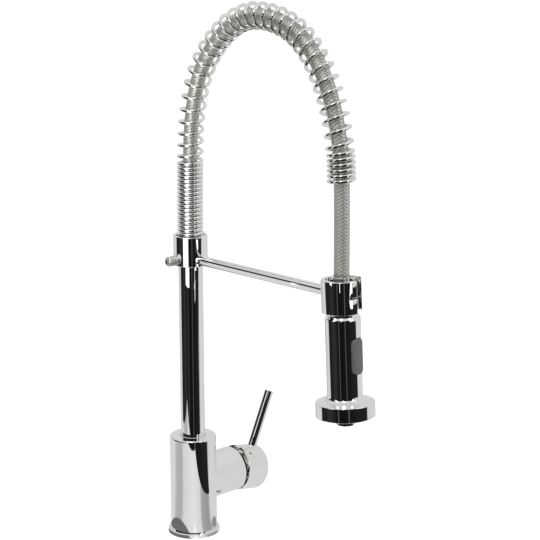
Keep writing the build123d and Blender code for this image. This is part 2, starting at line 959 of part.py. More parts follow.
def make_port_seals():
    low = cartridge_floor + 0.05
    high = low + 2 * port_ring_minor
    outer = port_ring_dia + 2 * port_ring_minor
    inner = port_ring_dia - 2 * port_ring_minor
    rings = [Pos(up, side, 0) * ring(outer, inner, low, high) for up, side in port_places()]
    return valve * Compound(children=rings)


def make_fixed_disc():
    disc = rod(fixed_disc_dia, fixed_disc_low, fixed_disc_high)
    for drill in port_drills(port_dia, fixed_disc_low, fixed_disc_high):
        disc -= drill
    return valve * disc


def make_cartridge_nut():
    return valve * ring(nut_outer_dia, nut_inner_dia, cartridge_shoulder, nut_high_out)


def make_shroud():
    ball = Pos(0, 0, pivot_reach)
    flange_high = pivot_reach
    dome = ball * Sphere(shroud_ball) - ball * Sphere(shroud_ball - shroud_wall)
    dome &= rod(3 * shroud_ball, shroud_low, pivot_reach + shroud_ball + 1)
    dome -= rod(shroud_mouth_dia, pivot_reach, pivot_reach + shroud_ball + 1)
    flange = ring(nut_outer_dia - 0.2, 2 * shroud_ball - shroud_wall, shroud_low, flange_high)
    return valve * (dome + flange)


def slide_offset():
    """How far the ceramic disc stands off centre, with the lever shut."""
    return stem_ball_reach * sin(radians(knob_tilt))


def make_moving_disc():
    disc = rod(moving_disc_dia, fixed_disc_high + 0.05, moving_disc_high)
    disc -= Pos(mixing_offset, 0, 0) * rod(mixing_dia, fixed_disc_high, fixed_disc_high + 2)
    return valve * Pos(slide_offset(), 0, 0) * disc


def make_disc_carrier():
    carrier = rod(moving_disc_dia, moving_disc_high, carrier_high)
    carrier -= rod(carrier_bore, carrier_floor, carrier_high)
    return valve * Pos(slide_offset(), 0, 0) * carrier


def make_rotor():
    neck = cartridge_neck_bore - 2 * running
    rotor = rod(rotor_flange_dia, rotor_flange_low, cartridge_inside_high - 0.1)
    rotor += rod(neck, cartridge_inside_high - 0.1, rotor_high)
    rotor -= Pos(0, 0, 0) * block(2 * rotor_slot_up, 2 * rotor_slot_side, rotor_flange_low, rotor_high)
    rotor -= Pos(0, 0, pivot_reach) * Rot(90, 0, 0) * rod(pivot_pin_dia, -pivot_pin_half, pivot_pin_half)
    return valve * rotor


def make_pivot_pin():
    pin = Rot(90, 0, 0) * rod(pivot_pin_dia, -pivot_pin_half, pivot_pin_half)
    return valve * Pos(0, 0, pivot_reach) * pin


# Lever, knob and stem

def make_stem():
    stem = block(stem_width, stem_width, stem_low, stem_high)
    stem += rod(stem_neck_dia, -stem_ball_reach, stem_low)
    stem += Pos(0, 0, -stem_ball_reach) * Sphere(stem_ball_dia / 2)
    stem -= Rot(90, 0, 0) * rod(pivot_pin_dia + 2 * running, -stem_width, stem_width)
    return lever * stem


lever_line = Pos(knob_dia / 2, 0, lever_foot) * Rot(0, 90 - lever_rake, 0)


def make_lever_rod():
    bar = turned(
        (0, -lever_seat),
        (lever_dia / 2, -lever_seat),
        (lever_dia / 2, lever_length, lever_edge),
        (0, lever_length),
    )
    return lever * lever_line * bar


def make_knob():
    body = rod(knob_dia, knob_rim, knob_end + 1)
    body &= Pos(0, 0, knob_end - knob_dome) * Sphere(knob_dome)
    rims = body.edges().filter_by(lambda e: e.geom_type == GeomType.CIRCLE and e.radius < knob_dia)
    body = fillet(rims.sort_by(Axis.Z)[-1], knob_round)
    body -= rod(knob_dia - 2 * knob_wall, knob_rim, knob_hub)
    body -= block(stem_width + 0.1, stem_width + 0.1, knob_hub, stem_high + passing)
    body -= lever_line * rod(lever_dia, -lever_seat, lever_length)
    body -= knob_screw_line * rod(knob_screw_dia, 0, knob_dia)
    body -= index_line * rod(index_dia, 0, knob_dia)
    return lever * body


knob_screw_line = Pos(0, 0, lever_foot) * Rot(0, -90, 0)
index_line = Pos(0, 0, index_reach) * Rot(0, 0, index_turn) * Rot(0, 90, 0)


def make_knob_screw():
    low = stem_width / 2
    screw = rod(knob_screw_dia, low, low + knob_screw_length)
    key = extrude(RegularPolygon(1.0, 6, major_radius=False), -2)
    return lever * knob_screw_line * (screw - Pos(0, 0, low + knob_screw_length) * key)


def make_index_plug():
    plug = rod(index_dia, knob_dia / 2 - knob_wall - 0.2, knob_dia / 2)
    plug &= Rot(0, -90, 0) * rod(knob_dia, -knob_dia, knob_dia)
    return lever * index_line * plug


rocker_axis = Pos(0, -rocker_pivot, button_centre) * Rot(0, 90, 0)


def export_all():
    path = arch_path()
    arm = make_arm()
    spring, wire = make_spring(path)
    pieces = {
        "base_ring": make_base_ring(),
        "base_seal": make_base_seal(),
        "body_casting": make_body(),
        "riser_bush": make_riser_bush(),
        "keeper_screw": make_keeper_screw(),
        "cartridge_housing": make_cartridge_housing(),
        "port_seals": make_port_seals(),
        "fixed_disc": make_fixed_disc(),
        "cartridge_nut": make_cartridge_nut(),
        "valve_shroud": make_shroud(),
        "riser_tube": make_riser_tube(),
        "riser_foot": make_riser_foot(),
        "riser_seals": make_riser_seals(),
        "hose_tail": make_hose_tail(),
        "hose_riser": make_hose_riser(),
        "collar": make_collar(arm),
        "collar_bush": make_collar_bush(),
        "spring_seat": make_spring_seat(wire),
        "spring": spring,
        "hose_arch": make_hose_arch(path),
        "support_arm": arm,
        "holder_ring": make_holder_ring(arm),
        "thumb_screw": make_thumb_screw(),
        "hose_drop": make_hose_drop(),
        "hose_cone": make_hose_cone(),
        "hose_ferrule": make_ferrule(),
        "handset_neck": make_neck(),
        "hose_washer": make_hose_washer(),
        "cone_nut": make_cone_nut(),
        "check_cage": make_check_cage(),
        "check_poppet": make_check_poppet(),
        "handset_shell": make_shell(),
        "waterway": make_waterway(),
        "spray_face": make_spray_face(),
        "spray_nozzles": make_nozzles(),
        "face_seal": make_face_seal(),
        "outlet_housing": make_outlet(),
        "outlet_washer": make_outlet_washer(),
        "aerator_insert": make_aerator(),
        "rocker_pin": make_rocker_pin(),
        "rocker_button": make_rocker_button(),
        "diverter_spool": make_spool(),
        "spool_seals": make_spool_seals(),
        "cartridge_rotor": make_rotor(),
        "pivot_pin": make_pivot_pin(),
        "moving_disc": make_moving_disc(),
        "disc_carrier": make_disc_carrier(),
        "cartridge_stem": make_stem(),
        "knob": make_knob(),
        "lever_rod": make_lever_rod(),
        "knob_screw": make_knob_screw(),
        "index_plug": make_index_plug(),
    }
    os.makedirs("parts", exist_ok=True)
    for name, shape in pieces.items():
        export_step(shape, f"parts/{name}.step")
        size = shape.bounding_box().size
        solids = len(shape.solids())
        print(f"{name}: {solids} solid, {size.X:.1f} x {size.Y:.1f} x {size.Z:.1f}, valid {shape.is_valid}")


if __name__ == "__main__":
    export_all()
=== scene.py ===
import json
import math

import bmesh
import bpy
from bpy.props import FloatProperty, FloatVectorProperty, IntProperty, PointerProperty
from bpy.types import Operator, Panel, PropertyGroup
from mathutils import Matrix, Vector


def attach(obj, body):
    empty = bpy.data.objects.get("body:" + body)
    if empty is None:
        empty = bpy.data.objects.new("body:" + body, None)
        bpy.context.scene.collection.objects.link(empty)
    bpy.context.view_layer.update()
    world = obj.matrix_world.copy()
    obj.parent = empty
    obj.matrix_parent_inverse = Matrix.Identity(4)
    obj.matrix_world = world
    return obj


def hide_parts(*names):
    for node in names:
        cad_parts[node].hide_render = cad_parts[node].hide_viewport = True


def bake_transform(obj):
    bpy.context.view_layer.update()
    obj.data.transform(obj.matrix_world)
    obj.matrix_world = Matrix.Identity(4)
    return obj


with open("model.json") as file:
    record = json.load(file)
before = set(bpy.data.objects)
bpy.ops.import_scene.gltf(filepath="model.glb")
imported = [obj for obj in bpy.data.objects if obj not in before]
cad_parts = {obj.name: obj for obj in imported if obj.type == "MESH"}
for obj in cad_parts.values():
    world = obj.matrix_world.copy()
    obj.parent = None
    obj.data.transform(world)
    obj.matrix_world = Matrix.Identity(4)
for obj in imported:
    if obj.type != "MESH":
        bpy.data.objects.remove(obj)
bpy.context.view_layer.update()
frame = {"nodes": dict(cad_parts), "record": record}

bl_info = {
    "name": "Spring mixer tap",
    "version": (1, 0, 0),
    "blender": (4, 5, 0),
    "location": "View3D > Sidebar > Tap",
    "description": "Dresses a pull-out kitchen mixer tap with chrome, a coiled spring and a braided hose",
    "category": "Add Mesh",
}

MM = 0.001


# Sizes and colours that a user would change

class TapSizes(PropertyGroup):
    """Sizes of the dressed pieces, in metres."""

    hose_thickness: FloatProperty(
        name="Hose", description="Diameter over the braid", default=0.0145, unit="LENGTH"
    )
    braid_pitch: FloatProperty(
        name="Braid pitch", description="Length of one crossing along the hose", default=0.0032, unit="LENGTH"
    )
    braid_carriers: IntProperty(
        name="Braid carriers", description="Wire bundles that wind each way round the hose", default=9
    )
    coil_width: FloatProperty(
        name="Spring", description="Outside diameter of the coil", default=0.0268, unit="LENGTH"
    )
    wire_thickness: FloatProperty(
        name="Spring wire", description="Diameter of the spring's wire", default=0.0038, unit="LENGTH"
    )
    knurl_depth: FloatProperty(
        name="Knurl depth", description="Depth of the thumb screw's knurl", default=0.00032, unit="LENGTH"
    )
    ring_edge: FloatProperty(
        name="Ring edge", description="Rounding of the holder ring's edges", default=0.0008, unit="LENGTH"
    )
    button_edge: FloatProperty(
        name="Button edge", description="Rounding of the button's rim", default=0.0013, unit="LENGTH"
    )
    nozzle_width: FloatProperty(
        name="Nozzle", description="Outside diameter of a rubber nozzle", default=0.0020, unit="LENGTH"
    )


class TapColours(PropertyGroup):
    """Colours of the finishes."""

    chrome: FloatVectorProperty(
        name="Chrome", description="Tint of the chrome plate", subtype="COLOR", default=(0.90, 0.91, 0.885)
    )
    screw: FloatVectorProperty(
        name="Thumb screw", description="Matt steel of the knurl", subtype="COLOR", default=(0.74, 0.74, 0.71)
    )
    braid: FloatVectorProperty(
        name="Braid", description="Steel wire of the hose", subtype="COLOR", default=(0.92, 0.93, 0.86)
    )
    button: FloatVectorProperty(
        name="Button", description="Moulded plastic of the button", subtype="COLOR",
        default=(0.140, 0.150, 0.145),
    )
    index: FloatVectorProperty(
        name="Index dot", description="Dot under the lever", subtype="COLOR", default=(0.025, 0.03, 0.10)
    )


# Frames of the handset, the button and the thumb screw

ARM_TILT = math.radians(3.4)
REACH = 0.244
ARM_HEIGHT = 0.2903
HANDSET_HEIGHT = ARM_HEIGHT + REACH * math.tan(ARM_TILT)
BUTTON_TURN = math.radians(12)


def frame_of(origin, x_axis, z_axis):
    """Matrix of a local frame from its origin, its X and its Z direction."""
    z = Vector(z_axis).normalized()
    x = Vector(x_axis)
    x = (x - z * x.dot(z)).normalized()
    y = z.cross(x)
    matrix = Matrix((x, y, z)).transposed().to_4x4()
    matrix.translation = Vector(origin)
    return matrix


HANDSET_UP = Vector((0, math.sin(ARM_TILT), math.cos(ARM_TILT)))
HANDSET = frame_of((0, -REACH, HANDSET_HEIGHT), (1, 0, 0), HANDSET_UP)
BUTTON = HANDSET @ Matrix.Rotation(BUTTON_TURN, 4, "Z")
THUMB = frame_of((0, 0, ARM_HEIGHT), (0, 0, 1), (-1, 0, 0))


# Shader maths

class Wire:
    """A shader socket that takes part in Python sums, and adds the Math nodes for them."""

    def __init__(self, tree, socket):
        self.tree = tree
        self.socket = socket

    def _math(self, operation, *values):
        return self.tree.node("ShaderNodeMath", {"operation": operation}, *values)

    def __add__(self, other):
        return self._math("ADD", self, other)

    def __radd__(self, other):
        return self._math("ADD", other, self)

    def __sub__(self, other):
        return self._math("SUBTRACT", self, other)

    def __rsub__(self, other):
        return self._math("SUBTRACT", other, self)

    def __mul__(self, other):
        return self._math("MULTIPLY", self, other)

    def __rmul__(self, other):
        return self._math("MULTIPLY", other, self)

    def __truediv__(self, other):
        return self._math("DIVIDE", self, other)

    def __mod__(self, other):
        return self._math("FLOORED_MODULO", self, other)

    def __gt__(self, other):
        return self._math("GREATER_THAN", self, other)

    def floor(self):
        return self._math("FLOOR", self)

    def fraction(self):
        return self._math("FRACT", self)

    def absolute(self):
        return self._math("ABSOLUTE", self)

    def root(self):
        return self._math("SQRT", self)

    def sine(self):
        return self._math("SINE", self)

    def at_least(self, other):
        return self._math("MAXIMUM", self, other)

    def step(self, low, high):
        """0 below low, 1 above high, smooth between."""
        node = self.tree.raw("ShaderNodeMapRange", {"interpolation_type": "SMOOTHSTEP"})
        self.tree.feed(node, {"Value": self, "From Min": low, "From Max": high})
        return Wire(self.tree, node.outputs["Result"])


class Shading:
    """Builds one node tree, of a material or of the world."""

    def __init__(self, owner):
        owner.use_nodes = True
        self.tree = owner.node_tree
        self.tree.nodes.clear()

    def raw(self, kind, settings=None):
        node = self.tree.nodes.new(kind)
        for key, value in (settings or {}).items():
            if key == "stops":
                set_stops(node.color_ramp, value)
            else:
                setattr(node, key, value)
        return node

    def feed(self, node, values):
        for key, value in values.items():
            target = node.inputs[key]
            if isinstance(value, Wire):
                self.tree.links.new(value.socket, target)
            else:
                target.default_value = value

    def node(self, kind, settings=None, *values, out=0, **named):
        node = self.raw(kind, settings)
        self.feed(node, dict(enumerate(values)))
        self.feed(node, {key.replace("_", " "): value for key, value in named.items()})
        return Wire(self, node.outputs[out])

    def coordinates(self, which="Object"):
        return self.node("ShaderNodeTexCoord", None, out=which)

    def split(self, vector):
        node = self.raw("ShaderNodeSeparateXYZ")
        self.feed(node, {0: vector})
        return [Wire(self, output) for output in node.outputs]

    def mix(self, factor, first, second):
        """A colour between two."""
        node = self.raw("ShaderNodeMix", {"data_type": "RGBA"})
        self.feed(node, {0: factor, 6: first, 7: second})
        return Wire(self, node.outputs[2])

    def noise(self, vector, scale, detail=2.0, roughness=0.5):
        return self.node(
            "ShaderNodeTexNoise", None, Vector=vector, Scale=scale, Detail=detail, Roughness=roughness
        )

    def bump(self, height, distance, strength=1.0):
        return self.node("ShaderNodeBump", None, Height=height, Distance=distance, Strength=strength)

    def surface(self, shader, output="ShaderNodeOutputMaterial"):
        self.feed(self.raw(output), {"Surface": shader})


def set_stops(ramp, stops):
    """Gives a colour ramp its stops, as (position, grey or colour)."""
    while len(ramp.elements) > 1:
        ramp.elements.remove(ramp.elements[-1])
    for index, (position, value) in enumerate(stops):
        colour = (value, value, value, 1) if isinstance(value, (int, float)) else (*value, 1)
        element = ramp.elements[0] if index == 0 else ramp.elements.new(position)
        element.position = position
        element.color = colour


def grey(value):
    return (value, value, value, 1)


# Finishes

def fresh(name):
    """A new material under a slot's name. The frame's plain one of that name steps aside."""
    plain = bpy.data.materials.get(name)
    if plain:
        plain.name = f"{name}_plain"
    return bpy.data.materials.new(name)


def make_chrome(name, tint=(0.90, 0.905, 0.90), rough=0.018):
    """Polished chrome plate, with faint wipe marks and dust that soften its gloss."""
    s = Shading(fresh(name))
    place = s.coordinates()
    smear = s.noise(place, 38.0, 3.0, 0.6)
    dust = s.noise(place, 900.0, 2.0, 0.7)
    roughness = rough + smear.step(0.45, 0.75) * 0.015 + dust.step(0.68, 0.8) * 0.04
    colour = s.mix(smear.step(0.35, 0.8), (*tint, 1), (tint[0] * 0.96, tint[1] * 0.965, tint[2] * 0.97, 1))
    normal = s.bump(s.noise(place, 60.0, 1.0), 0.00002, 0.4)
    s.surface(s.node(
        "ShaderNodeBsdfPrincipled", None,
        Base_Color=colour, Metallic=1.0, Roughness=roughness, Normal=normal,
    ))


def make_steel(name, tint, rough, line_scale):
    """Turned or brushed metal with fine lines along the object's X and Y."""
    s = Shading(fresh(name))
    place = s.coordinates()
    scale = (line_scale, line_scale, line_scale * 8)
    stretched = s.node("ShaderNodeMapping", None, Vector=place, Scale=scale)
    lines = s.noise(stretched, 1.0, 4.0, 0.7)
    colour = s.mix(lines.step(0.3, 0.75), (*tint, 1), (tint[0] * 0.82, tint[1] * 0.82, tint[2] * 0.82, 1))
    s.surface(s.node(
        "ShaderNodeBsdfPrincipled", None,
        Base_Color=colour, Metallic=1.0, Roughness=rough + lines * 0.12, Normal=s.bump(lines, 0.00003, 0.5),
    ))


def make_plastic(name, tint, rough, grain_scale, grain_height=0.00003):
    """Moulded plastic, rubber or ceramic, with a fine grain and slightly uneven colour."""
    s = Shading(fresh(name))
    place = s.coordinates()
    grain = s.noise(place, grain_scale, 3.0, 0.6)
    patch = s.noise(place, 45.0, 2.0, 0.5)
    colour = s.mix(patch.step(0.3, 0.8), (*tint, 1), (tint[0] * 0.86, tint[1] * 0.86, tint[2] * 0.87, 1))
    s.surface(s.node(
        "ShaderNodeBsdfPrincipled", None,
        Base_Color=colour, Roughness=rough + patch * 0.1, Normal=s.bump(grain, grain_height, 0.6),
    ))


def make_braid(name, tint, carriers, cell, wires):
    """Braided steel wire: flat bundles that cross two over and two under along the hose's UV map, with
    painted light and shade.
    """
    s = Shading(fresh(name))
    u, v, _ = s.split(s.coordinates("UV"))
    around = u * carriers
    along = v / cell
    right, left = around + along, around - along
    parity = ((right.floor() + left.floor()) / 2).floor() % 2
    over = parity > 0.5
    across = over * (right.fraction() - 0.5) + (1 - over) * (left.fraction() - 0.5)
    run = over * (left.fraction() - 0.5) + (1 - over) * (right.fraction() - 0.5)
    crown = (1 - (across * 2) * (across * 2) * 0.9).at_least(0).root()
    strand = ((across * (wires * math.pi * 2)).sine() + 1) * 0.5
    gap = (across.absolute() * 2).step(0.74, 0.96)
    height = crown * 0.7 + strand * 0.25 - gap * 0.6 - run * run * 0.3
    # Painted light and shade: bundles on top in one direction are painted lit, those on top in the other
    # direction painted shaded, and strand crowns are painted lighter.
    lit = (0.5 + over * 0.5) * (0.75 + strand * 0.25)
    shaded = tuple(0.38 * value for value in tint)
    wire = s.mix(lit, (*shaded, 1), (*tint, 1))
    # Painted shade: the gaps between bundles are painted near-black.
    colour = s.mix(gap, wire, grey(0.03))
    s.surface(s.node(
        "ShaderNodeBsdfPrincipled", None,
        Base_Color=colour, Metallic=0.6, Roughness=0.30 + gap * 0.3, Normal=s.bump(height, 0.0004, 0.6),
    ))


def make_finishes(colours, sizes):
    """All the finishes, one for each slot of the record."""
    chrome = tuple(colours.chrome)
    make_chrome("chrome", chrome)
    make_chrome("spring_steel", chrome, rough=0.02)
    make_steel("rod_steel", (0.62, 0.62, 0.61), 0.22, 900.0)
    make_steel("screw_steel", tuple(colours.screw), 0.20, 1500.0)
    make_steel("brass", (0.62, 0.46, 0.20), 0.28, 1200.0)
    make_steel("crimp", (0.72, 0.72, 0.69), 0.16, 700.0)
    make_braid("braid", tuple(colours.braid), sizes.braid_carriers, sizes.braid_pitch, 5)
    make_plastic("seal_rubber", (0.022, 0.022, 0.022), 0.55, 2500.0)
    make_plastic("grey_plastic", tuple(colours.button), 0.36, 1800.0)
    make_plastic("dark_plastic", (0.006, 0.006, 0.006), 0.45, 1600.0)
    make_plastic("white_plastic", (0.74, 0.74, 0.72), 0.42, 1600.0)
    make_plastic("ceramic", (0.80, 0.79, 0.75), 0.2, 3000.0)
    make_plastic("index_colour", tuple(colours.index), 0.25, 2500.0)


def finish(slot):
    """The material of one of the record's slots."""
    return bpy.data.materials[slot]


# Meshes

def rounded(corners, steps=5, hold=0.0003):
    """A closed outline with its stated rounds as arcs, and a point beside each arc that keeps flats flat."""
    outline = []
    for index, corner in enumerate(corners):
        here = Vector(corner[:2])
        radius = corner[2] if len(corner) > 2 else 0
        if radius == 0:
            outline.append(here)
            continue
        before = (Vector(corners[index - 1][:2]) - here).normalized()
        after = (Vector(corners[(index + 1) % len(corners)][:2]) - here).normalized()
        half = before.angle(after) / 2
        cut = radius / math.tan(half)
        middle = here + (before + after).normalized() * (radius / math.sin(half))
        first = here + before * cut - middle
        last = here + after * cut - middle
        sweep = first.angle(last)
        outline.append(here + before * (cut + hold))
        for step in range(steps + 1):
            share = step / steps
            mixed = first * math.sin((1 - share) * sweep) + last * math.sin(share * sweep)
            outline.append(middle + mixed / math.sin(sweep))
        outline.append(here + after * (cut + hold))
    return outline


def join_loops(bm, low, high):
    """Faces between two loops of vertices, either of which can be a single point."""
    count = max(len(low), len(high))
    for index in range(count):
        follow = (index + 1) % count
        face = [low[turn % len(low)] for turn in (index, follow)]
        face += [high[turn % len(high)] for turn in (follow, index)]
        corners = list(dict.fromkeys(face))
        if len(corners) > 2:
            bm.faces.new(corners)


def turned(profile, segments=96):
    """A closed mesh of revolution about Z from (radius, height) points."""
    bm = bmesh.new()
    loops = []
    for radius, height in profile:
        around = segments if radius > 1e-7 else 1
        turns = [math.tau * index / segments for index in range(around)]
        loops.append([bm.verts.new((radius * math.cos(t), radius * math.sin(t), height)) for t in turns])
    for low, high in zip(loops, loops[1:] + loops[:1]):
        join_loops(bm, low, high)
    return bm


def mesh_of(bm, name, place=None):
    """The finished mesh, with faces outwards and smooth, moved to its place."""
    bmesh.ops.recalc_face_normals(bm, faces=bm.faces)
    mesh = bpy.data.meshes.new(name)
    bm.to_mesh(mesh)
    bm.free()
    mesh.shade_smooth()
    if place is not None:
        mesh.transform(place)
    return mesh


def add_piece(name, mesh, slot, nodes, body=None):
    """An object for a mesh, with its finish, the solids that it stands for and the body that it rides on."""
    piece = bpy.data.objects.new(name, mesh)
    bpy.context.scene.collection.objects.link(piece)
    if not mesh.materials:
        mesh.materials.append(finish(slot))
    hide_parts(*nodes)
    if body:
        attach(piece, body)
    return piece


class Route:
    """A line through points, with places and directions at lengths along it."""

    def __init__(self, points):
        self.points = points
        self.stations = [0.0]
        for start, end in zip(points, points[1:]):
            self.stations.append(self.stations[-1] + (end - start).length)
        ends = [points[0]] + points + [points[-1]]
        self.ways = [(after - before).normalized() for before, after in zip(ends, ends[2:])]

    def at(self, station):
        index = 0
        while index < len(self.points) - 2 and self.stations[index + 1] < station:
            index += 1
        share = (station - self.stations[index]) / (self.stations[index + 1] - self.stations[index])
        place = self.points[index].lerp(self.points[index + 1], share)
        return place, self.ways[index].lerp(self.ways[index + 1], share).normalized()

    def nearest(self, place):
        """The station of the point nearest to a place."""
        gaps = [(point - place).length for point in self.points]
        return self.stations[gaps.index(min(gaps))]


# Geometry Nodes

class Growing:
    """Builds one Geometry Nodes tree with named inputs, ending in Realize Instances and Set Material."""

    def __init__(self, name, **inputs):
        self.tree = bpy.data.node_groups.new(name, "GeometryNodeTree")
        self.tree.is_modifier = True
        sockets = self.tree.interface
        sockets.new_socket("Geometry", in_out="OUTPUT", socket_type="NodeSocketGeometry")
        sockets.new_socket("Geometry", in_out="INPUT", socket_type="NodeSocketGeometry")
        for key, kind in inputs.items():
            sockets.new_socket(key, in_out="INPUT", socket_type=kind)
        sockets.new_socket("Material", in_out="INPUT", socket_type="NodeSocketMaterial")
        self.start = self.tree.nodes.new("NodeGroupInput")

    def given(self, name):
        return self.start.outputs[name]

    def node(self, kind, settings=None, out=0, **values):
        node = self.tree.nodes.new(kind)
        for key, value in (settings or {}).items():
            setattr(node, key, value)
        for key, value in values.items():
            target = node.inputs[key.replace("_", " ")]
            if isinstance(value, bpy.types.NodeSocket):
                self.tree.links.new(value, target)
            else:
                target.default_value = value
        return node.outputs[out]

    def end(self, geometry):
        real = self.node("GeometryNodeRealizeInstances", Geometry=geometry)
        smooth = self.node("GeometryNodeSetShadeSmooth", Geometry=real)
        dressed = self.node("GeometryNodeSetMaterial", Geometry=smooth, Material=self.given("Material"))
        self.tree.links.new(dressed, self.tree.nodes.new("NodeGroupOutput").inputs[0])

    def mesh_from(self, data, **values):
        """The plain mesh that the tree makes from some data."""
        holder = bpy.data.objects.new("holder", data)
        bpy.context.scene.collection.objects.link(holder)
        modifier = holder.modifiers.new("grow", "NODES")
        modifier.node_group = self.tree
        for socket in self.tree.interface.items_tree:
            if socket.in_out == "INPUT" and socket.name in values:
                modifier[socket.identifier] = values[socket.name]
        graph = bpy.context.evaluated_depsgraph_get()
        mesh = bpy.data.meshes.new_from_object(holder.evaluated_get(graph), depsgraph=graph)
        bpy.data.objects.remove(holder)
        return mesh


def wire_tree():
    """A round wire along each curve, closed at its ends."""
    growing = Growing("Round wire", Radius="NodeSocketFloat", Sides="NodeSocketInt")
    section = growing.node(
        "GeometryNodeCurvePrimitiveCircle",
        Resolution=growing.given("Sides"),
        Radius=growing.given("Radius"),
    )
    wire = growing.node(
        "GeometryNodeCurveToMesh",
        Curve=growing.given("Geometry"),
        Profile_Curve=section,
        Fill_Caps=True,
    )
    growing.end(wire)
    return growing


def nozzle_tree():
    """Copies of one nozzle on an inner and an outer ring."""
    growing = Growing(
        "Nozzle rings",
        Inner_Radius="NodeSocketFloat",
        Inner_Count="NodeSocketInt",
        Outer_Radius="NodeSocketFloat",
        Outer_Count="NodeSocketInt",
    )
    rings = growing.tree.nodes.new("GeometryNodeJoinGeometry")
    for side in ("Inner", "Outer"):
        ring = growing.node(
            "GeometryNodeMeshCircle",
            Vertices=growing.given(side + "_Count"),
            Radius=growing.given(side + "_Radius"),
        )
        growing.tree.links.new(ring, rings.inputs[0])
    copies = growing.node(
        "GeometryNodeInstanceOnPoints", Points=rings.outputs[0], Instance=growing.given("Geometry")
    )
    growing.end(copies)
    return growing


# Hose and spring

# Most of these corners, and of the coil's pitches below, are results of a fitting program, rounded.
HOSE_ROUTE = [
    (0, 303.8), (-0.8, 379.0), (-3.6, 431.0), (-18.6, 480.5), (-51.9, 517.6), (-92.0, 541.2), (-135.6, 545.3),
    (-178.4, 535.7), (-211.1, 508.6), (-230.6, 474.1), (-239.9, 441.7), (-243.5, 409.7), (-243.3, 316.8),
]
SPRING_START = 0.0028
SPRING_END_UP = 0.103
COIL_PITCHES = (
    (0, 4.2), (79, 4.2), (90, 11.2), (120, 12.0), (150, 14.3), (195, 15.0), (250, 13.7), (300, 13.6),
    (350, 12.8), (400, 11.9), (440, 10.8), (470, 12.4), (481, 4.7),
)
COIL_TURN = 0.05
COIL_STEPS = 32


def hose_route():
    """The hose's centre line, read from the spline that its corners control."""
    curve = bpy.data.curves.new("route", "CURVE")
    curve.dimensions = "3D"
    curve.resolution_u = 18
    spline = curve.splines.new("NURBS")
    spline.points.add(len(HOSE_ROUTE) - 1)
    for point, (along, up) in zip(spline.points, HOSE_ROUTE):
        point.co = (0, along * MM, up * MM, 1)
    spline.order_u = 3
    spline.use_endpoint_u = True
    holder = bpy.data.objects.new("route", curve)
    bpy.context.scene.collection.objects.link(holder)
    mesh = bpy.data.meshes.new_from_object(holder)
    points = [vertex.co.copy() for vertex in mesh.vertices]
    bpy.data.objects.remove(holder)
    return Route(points)


def hose_mesh(route, radius, around=40):
    """A closed tube with its UV map round the hose and, in metres, along it."""
    bm = bmesh.new()
    map_layer = bm.loops.layers.uv.new("UVMap")
    side = Vector((1, 0, 0))
    loops = []
    for place, way in zip(route.points, route.ways):
        outward = way.cross(side)
        loops.append([
            bm.verts.new(place + radius * (outward * math.cos(t) + side * math.sin(t)))
            for t in (math.tau * index / around for index in range(around))
        ])
    for step, (low, high) in enumerate(zip(loops, loops[1:])):
        for index in range(around):
            follow = (index + 1) % around
            face = bm.faces.new((low[index], low[follow], high[follow], high[index]))
            for loop, (turn, end) in zip(face.loops, ((0, 0), (1, 0), (1, 1), (0, 1))):
                loop[map_layer].uv = ((index + turn) / around, route.stations[step + end])
    bm.faces.new(loops[0])
    bm.faces.new(loops[-1])
    return mesh_of(bm, "hose")


def coil_pitch(station):
    """The coil's pitch at a length along the spring, between the named stations."""
    for (low, low_pitch), (high, high_pitch) in zip(COIL_PITCHES, COIL_PITCHES[1:]):
        if station <= high * MM:
            return MM * (low_pitch + (high_pitch - low_pitch) * (station / MM - low) / (high - low))
    return MM * COIL_PITCHES[-1][1]


def coil_line(route, start, end, radius, wire):
    """Points of the wire's centre line, from its stop to its free end."""
    side = Vector((1, 0, 0))
    station = 0.0
    turn = math.tau * COIL_TURN
    points = []
    while station < end - start:
        place, way = route.at(start + station)
        outward = way.cross(side)
        points.append(place + radius * (outward * math.cos(turn) - side * math.sin(turn)))
        station += coil_pitch(station) / COIL_STEPS
        turn += math.tau / COIL_STEPS
    first = (points[1] - points[0]).normalized() * wire
    last = (points[-1] - points[-2]).normalized() * wire
    return [points[0] - first] + points + [points[-1] + last]


class TAP_OT_hose(Operator):
    """Make the braided hose, from the collar over the arch to its crimped end."""

    bl_idname = "tap.hose"
    bl_label = "Braided hose"

    def execute(self, context):
        sizes = context.scene.tap_sizes
        route = hose_route()
        hose = add_piece(
            "braided_hose", hose_mesh(route, sizes.hose_thickness / 2), "braid", ("hose_arch", "hose_drop")
        )
        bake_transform(hose)
        return {"FINISHED"}


class TAP_OT_spring(Operator):
    """Wind the spring round the hose, close at both ends and open over the arch."""

    bl_idname = "tap.spring"
    bl_label = "Spring"

    def execute(self, context):
        sizes = context.scene.tap_sizes
        route = hose_route()
        spring_end = route.nearest(HANDSET @ Vector((0, 0, SPRING_END_UP))) - sizes.wire_thickness / 2
        radius = (sizes.coil_width - sizes.wire_thickness) / 2
        points = coil_line(route, SPRING_START, spring_end, radius, sizes.wire_thickness)
        line = bpy.data.curves.new("coil", "CURVE")
        line.dimensions = "3D"
        spline = line.splines.new("POLY")
        spline.points.add(len(points) - 1)
        for point, place in zip(spline.points, points):
            point.co = (*place, 1)
        mesh = wire_tree().mesh_from(
            line, Radius=sizes.wire_thickness / 2, Sides=12, Material=finish("spring_steel")
        )
        add_piece("spring_coil", mesh, "spring_steel", ("spring",), "bracket")
        return {"FINISHED"}


CRIMP_BORE = 0.0045
CRIMP_OUTSIDE = 0.0077
CRIMP_LIP = 0.0072
CRIMP_LOW = 0.0073
CRIMP_SHOULDER = 0.0162
CRIMP_HIGH = 0.0170
CRIMP_ROUND = 0.0002
GROOVE_FLOOR = 0.00745
GROOVE_LOW = 0.0102
GROOVE_HIGH = 0.0120
GROOVE_SLOPE = 0.0004


